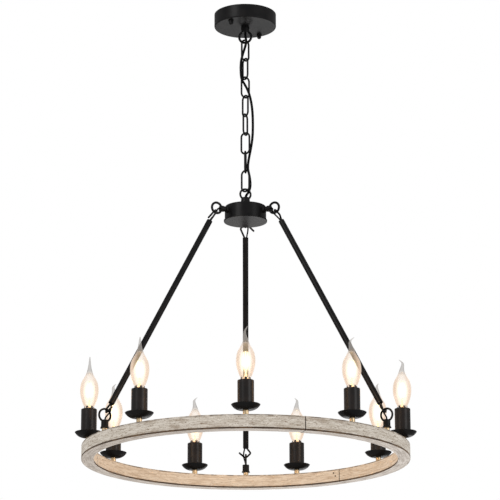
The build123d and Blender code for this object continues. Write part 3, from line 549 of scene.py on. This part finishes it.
def glass_mesh(curl, end_z):
    """Hollow glass with a solid drawn tip that leans back, then curls over, as one closed skin."""
    neck_z, neck_r = GLASS_PROFILE[-1]
    tip = [
        Vector(((neck_z + TIP_BEND_Z) / 2, 3.5, -0.25 * curl)),
        Vector((TIP_BEND_Z, 2.5, -0.5 * curl)),
        Vector(((TIP_BEND_Z + end_z) / 2, 1.7, -0.15 * curl)),
        Vector((end_z, 0.8, curl)),
    ]
    profile = smooth_line([Vector((z, r, 0)) for z, r in GLASS_PROFILE] + tip, 4)
    wall = smooth_line([Vector((z, r - GLASS_WALL, 0)) for z, r in GLASS_PROFILE[:-1]], 4)
    maker = bmesh.new()
    outer = [(Vector((lean, 0, z)), r) for z, r, lean in profile]
    inner = [(Vector((0, 0, z)), r) for z, r, _ in wall]
    outside = stacked_rings(maker, outer, GLASS_SIDES, None, Vector((1.04 * curl, 0, end_z + 0.5)))
    inside = stacked_rings(maker, inner, GLASS_SIDES, None, Vector((0, 0, wall[-1].x + 2.5)))
    for k in range(GLASS_SIDES):
        n = (k + 1) % GLASS_SIDES
        maker.faces.new((outside[0][n], outside[0][k], inside[0][k], inside[0][n]))
    bmesh.ops.recalc_face_normals(maker, faces=maker.faces)
    return mesh_from(maker, "bulb_glass")


def base_mesh():
    """Screw base with a rolled thread, a bevel and a contact button."""
    maker = bmesh.new()
    turns = [2 * pi * k / BASE_SIDES for k in range(BASE_SIDES)]
    loops = []
    for row in range(THREAD_ROWS + 1):
        height = BASE_TOP_Z + (BASE_FOOT_Z - BASE_TOP_Z) * row / THREAD_ROWS
        ease = min(1, row / THREAD_EASE_ROWS, (THREAD_ROWS - row) / THREAD_EASE_ROWS)
        loop = []
        for turn in turns:
            wave = cos(2 * pi * (height - BASE_TOP_Z) / THREAD_PITCH + turn)
            radius = BASE_R - THREAD_DEPTH / 2 * (1 - ease) + THREAD_DEPTH / 2 * wave * ease
            loop.append(maker.verts.new((radius * cos(turn), radius * sin(turn), height)))
        loops.append(loop)
    for height, radius in BASE_END:
        loops.append([maker.verts.new((radius * cos(turn), radius * sin(turn), height)) for turn in turns])
    skin_between(maker, loops)
    maker.faces.new(loops[0])
    maker.faces.new(loops[-1])
    bmesh.ops.recalc_face_normals(maker, faces=maker.faces)
    return mesh_from(maker, "bulb_base")


def rod_between(maker, start, end, radius, sides=10):
    """Round bar with flat ends between two points."""
    way = end - start
    turn = way.to_track_quat("Z", "Y").to_matrix().to_4x4()
    bmesh.ops.create_cone(
        maker,
        cap_ends=True,
        segments=sides,
        radius1=radius,
        radius2=radius,
        depth=way.length,
        matrix=Matrix.Translation((start + end) / 2) @ turn,
    )


def filament_spins():
    """Turn of each filament round the stem."""
    return [Matrix.Rotation(k * 2 * pi / FILAMENTS, 4, "Z") for k in range(FILAMENTS)]


def stem_mesh():
    """Glass stem with a flared foot and the two supports that the filaments are welded to."""
    maker = bmesh.new()
    rings = [(Vector((0, 0, height)), radius) for height, radius in STEM_PROFILE]
    stacked_rings(maker, rings, STEM_SIDES, STEM_FOOT, STEM_TOP)
    for spin in filament_spins():
        rod_between(maker, LOW_SUPPORT, spin @ FILAMENT_FOOT, SUPPORT_R, SUPPORT_SIDES)
        rod_between(maker, HIGH_SUPPORT, spin @ FILAMENT_TOP, SUPPORT_R, SUPPORT_SIDES)
    return mesh_from(maker, "bulb_stem")


def filament_mesh():
    """Four filament bars round the stem."""
    maker = bmesh.new()
    for spin in filament_spins():
        rod_between(maker, spin @ FILAMENT_FOOT, spin @ FILAMENT_TOP, FILAMENT_R)
    return mesh_from(maker, "bulb_filaments")


def add_bulbs():
    """Nine bulbs, each of four pieces that ride on the bulb's body."""
    shared = (
        ("base", base_mesh(), BASE_METAL),
        ("stem", stem_mesh(), STEM_GLASS),
        ("filaments", filament_mesh(), FILAMENT),
    )
    for number, (_, curl, end_z) in enumerate(BULB_TIPS):
        body = f"bulb_{number + 1}"
        kinds = [("glass", glass_mesh(curl, end_z), GLASS)]
        kinds += [(kind, pattern.copy(), material) for kind, pattern, material in shared]
        for kind, mesh, material in kinds:
            mesh.transform(bulb_place(number))
            made = piece(f"{body}_{kind}", mesh, material)
            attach(made, body)
            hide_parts(body)
            made.visible_shadow = kind == "base"
    for _, pattern, _ in shared:
        bpy.data.meshes.remove(pattern)


# Power cord: woven down through the chain, from the canopy's collar to the hub's

CORD_D = 5.0 * MM
CORD_SIDES = 16
# the route's points, in millimetres
CORD_ROUTE = (
    (0.0, 0.0, -12.0),
    (0.4, 0.3, -21.0),
    (0.5, 0.3, -30.0),
    (0.2, 0.1, -38.5),
    (0.2, -0.9, -46.0),
    (1.5, -4.6, -53.5),
    (2.3, -6.8, -62.0),
    (-0.4, -4.9, -72.0),
    (-4.3, -1.2, -83.5),
    (-8.2, 0.4, -97.0),
    (-9.4, 0.8, -112.0),
    (-9.0, 1.3, -126.5),
    (-7.7, 2.3, -138.5),
    (-1.2, 1.0, -150.0),
    (5.4, -2.2, -164.0),
    (11.0, -4.6, -183.0),
    (14.6, -4.0, -209.0),
    (15.4, -3.0, -239.0),
    (14.6, -1.4, -265.0),
    (10.8, 2.0, -289.0),
    (6.2, 2.8, -311.0),
    (4.6, 3.4, -328.5),
    (8.0, 2.9, -343.0),
    (9.9, 3.4, -356.0),
    (10.0, 6.7, -367.5),
    (5.9, 7.6, -378.2),
    (0.9, 1.2, -386.5),
    (-0.4, -0.5, -395.9),
    (0.1, 0.3, -407.0),
    (0.4, 0.2, -417.5),
)


def route_line(name, route):
    """Points read from the smooth spline that has the route as its control points."""
    curve = bpy.data.curves.new(name, "CURVE")
    curve.dimensions = "3D"
    spline = curve.splines.new("NURBS")
    spline.points.add(len(route) - 1)
    for control, point in zip(spline.points, route):
        control.co = (*(Vector(point) * MM), 1)
    spline.order_u = 3
    spline.use_endpoint_u = True
    spline.resolution_u = 12
    holder = bpy.data.objects.new(name, curve)
    scene.collection.objects.link(holder)
    bpy.context.view_layer.update()
    mesh = bpy.data.meshes.new_from_object(holder)
    line = [v.co.copy() for v in mesh.vertices]
    bpy.data.objects.remove(holder)
    bpy.data.curves.remove(curve)
    bpy.data.meshes.remove(mesh)
    return line


def carried_frames(line):
    """Two directions square to the line at each of its points, carried along without twist."""
    side = Vector((1, 0, 0))
    frames = []
    for k, point in enumerate(line):
        way = (line[min(k + 1, len(line) - 1)] - line[max(k - 1, 0)]).normalized()
        side = (side - side.dot(way) * way).normalized()
        frames.append((side, way.cross(side)))
    return frames


def tube_mesh(name, line, frames, diameter, sides, first_cap, last_cap):
    """Round tube along a line; only a real end of the cord gets a cap."""
    maker = bmesh.new()
    turns = [2 * pi * k / sides for k in range(sides)]
    loops = []
    for point, (side, up) in zip(line, frames):
        loops.append([
            maker.verts.new(point + diameter / 2 * (cos(turn) * side + sin(turn) * up)) for turn in turns
        ])
    skin_between(maker, loops)
    if first_cap:
        maker.faces.new(loops[0])
    if last_cap:
        maker.faces.new(loops[-1])
    bmesh.ops.recalc_face_normals(maker, faces=maker.faces)
    return mesh_from(maker, name)


def add_power_cord():
    """One cord in nine stretches, cut where it passes the middle of each link of the chain."""
    line = route_line("power_cord_route", CORD_ROUTE)
    frames = carried_frames(line)
    middles = [FIRST_LINK_Z - LINK_PITCH * k for k in range(LINKS)]
    nearest = [min(range(len(line)), key=lambda k: abs(line[k].z - z)) for z in middles]
    cuts = [0, *nearest, len(line) - 1]
    for k in range(LINKS + 1):
        first, last = cuts[k], cuts[k + 1]
        stretch = line[first:last + 1]
        mesh = tube_mesh(
            f"power_cord_{k + 1}", stretch, frames[first:last + 1], CORD_D, CORD_SIDES, k == 0, k == LINKS
        )
        made = piece(f"power_cord_{k + 1}", mesh, CORD)
        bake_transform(made)
        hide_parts("power_cord")


# Feed wires: each one runs from the hub through a rod to the ring

ARM_PIVOT_R = 71.155 * MM
ARM_PIVOT_Z = -431.49 * MM
RING_FOOT_R = 302.224 * MM
RING_FOOT_Z = -856.87 * MM
HUB_CUT = 28 * MM


def kept_between(mesh, cuts):
    """The part of a closed mesh between planes, given as points and directions to keep, closed again."""
    maker = bmesh.new()
    maker.from_mesh(mesh)
    for point, direction in cuts:
        bmesh.ops.bisect_plane(
            maker,
            geom=[*maker.verts, *maker.edges, *maker.faces],
            plane_co=point,
            plane_no=direction,
            clear_inner=True,
        )
        bmesh.ops.holes_fill(maker, edges=[e for e in maker.edges if e.is_boundary])
    return mesh_from(maker, "feed_wire")


def add_feed_wires():
    """Each wire in three stretches: bending at the hub, in the rod, and in the ring's collar."""
    for number in range(ARMS):
        node = f"feed_wire_{number + 1}"
        rod = f"rod_{number + 1}"
        out = outward(FIRST_ARM_TURN + number * 360 / ARMS)
        pivot = out * ARM_PIVOT_R + Vector((0, 0, ARM_PIVOT_Z))
        foot = out * RING_FOOT_R + Vector((0, 0, RING_FOOT_Z))
        down = (foot - pivot).normalized()
        cut = pivot + down * HUB_CUT
        whole = nodes[node].data.copy()
        whole.transform(nodes[node].matrix_world)
        whole.materials.clear()
        stretches = (
            ("hub_end", [(cut, -down)]),
            ("middle", [(cut, down), (foot, -down)]),
            ("ring_end", [(foot, down)]),
        )
        upper, middle, lower = (
            piece(f"{node}_{place}", kept_between(whole, cuts), CORD)
            for place, cuts in stretches
        )
        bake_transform(upper)
        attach(middle, rod)
        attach(lower, "ring")
        for made in (upper, middle, lower):
            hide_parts(node)
        bpy.data.meshes.remove(whole)


# Light and stage


def add_lamp(name, kind, place, power, size, colour=(1, 1, 1), aim=None):
    """Lamp at a place, turned towards its aim."""
    data = bpy.data.lights.new(name, kind)
    data.energy = power
    data.color = colour
    if kind == "AREA":
        data.shape = "DISK"
        data.size = size
    else:
        data.shadow_soft_size = size
    lamp = bpy.data.objects.new(name, data)
    scene.collection.objects.link(lamp)
    lamp.location = place
    if aim is not None:
        lamp.rotation_mode = "QUATERNION"
        lamp.rotation_quaternion = (Vector(aim) - Vector(place)).to_track_quat("-Z", "Y")


WORLD_LIGHT = 0.62
BULB_LIGHT_Z = -0.799
BULB_POWER = 0.26
BULB_LIGHT_R = 0.018
# name, place, power and size
SOFT_LAMPS = (
    ("key", (-2.2, -2.6, 0.9), 42, 1.6),
    ("fill", (2.4, -2.0, -0.2), 24, 1.6),
    ("under", (0.4, 2.6, -2.1), 46, 1.8),
)
WARM = tone(255, 196, 130)[:3]


def add_light():
    """White surroundings to the eye, a plainer level on surfaces, soft lamps and the bulbs' glow."""
    world = bpy.data.worlds.new("studio")
    scene.world = world
    world.use_nodes = True
    tree = world.node_tree
    background = tree.nodes["Background"]
    path = tree.nodes.new("ShaderNodeLightPath")
    seen = tree.nodes.new("ShaderNodeMath")
    seen.operation = "MAXIMUM"
    also = tree.nodes.new("ShaderNodeMath")
    also.operation = "MAXIMUM"
    level = tree.nodes.new("ShaderNodeMapRange")
    tree.links.new(path.outputs["Is Camera Ray"], seen.inputs[0])
    tree.links.new(path.outputs["Is Glossy Ray"], seen.inputs[1])
    tree.links.new(seen.outputs[0], also.inputs[0])
    tree.links.new(path.outputs["Is Transmission Ray"], also.inputs[1])
    tree.links.new(also.outputs[0], level.inputs[0])
    level.inputs["To Min"].default_value = WORLD_LIGHT
    level.inputs["To Max"].default_value = 1.0
    tree.links.new(level.outputs[0], background.inputs["Strength"])
    background.inputs["Color"].default_value = (1, 1, 1, 1)
    for name, place, power, size in SOFT_LAMPS:
        add_lamp(name, "AREA", place, power, size, aim=CENTRE)
    for number in range(CANDLES):
        place = outward(number * 360 / CANDLES) * RING_MID_R + Vector((0, 0, BULB_LIGHT_Z))
        add_lamp(f"bulb_light_{number + 1}", "POINT", place, BULB_POWER, BULB_LIGHT_R, WARM)


FLOOR_Z = -2.35
FLOOR_R = 1.5
FLOOR_SIDES = 96


def add_floor():
    """Pale round floor that fades into the white at its rim."""
    maker = bmesh.new()
    bmesh.ops.create_circle(maker, cap_ends=True, segments=FLOOR_SIDES, radius=FLOOR_R)
    mesh = mesh_from(maker, "floor")
    floor = bpy.data.objects.new("floor", mesh)
    floor.location = (0, 0, FLOOR_Z)
    scene.collection.objects.link(floor)
    pale = Shading("floor", Specular_IOR_Level=0.0)
    pale.colour(tone(250, 249, 247))
    pale.roughness(0.9)
    x, y, _ = pale.parts(pale.place())
    far = pale.from_axis(x, y)
    pale.put(pale.shader.inputs["Alpha"], pale.between(far, FLOOR_R * 0.55, FLOOR_R * 0.97, 1, 0))
    mesh.materials.append(pale.material)


scene.view_settings.view_transform = "Standard"
add_camera()
dress_cad_nodes()
add_bulbs()
add_power_cord()
add_feed_wires()
add_light()
add_floor()

bpy.context.view_layer.update()
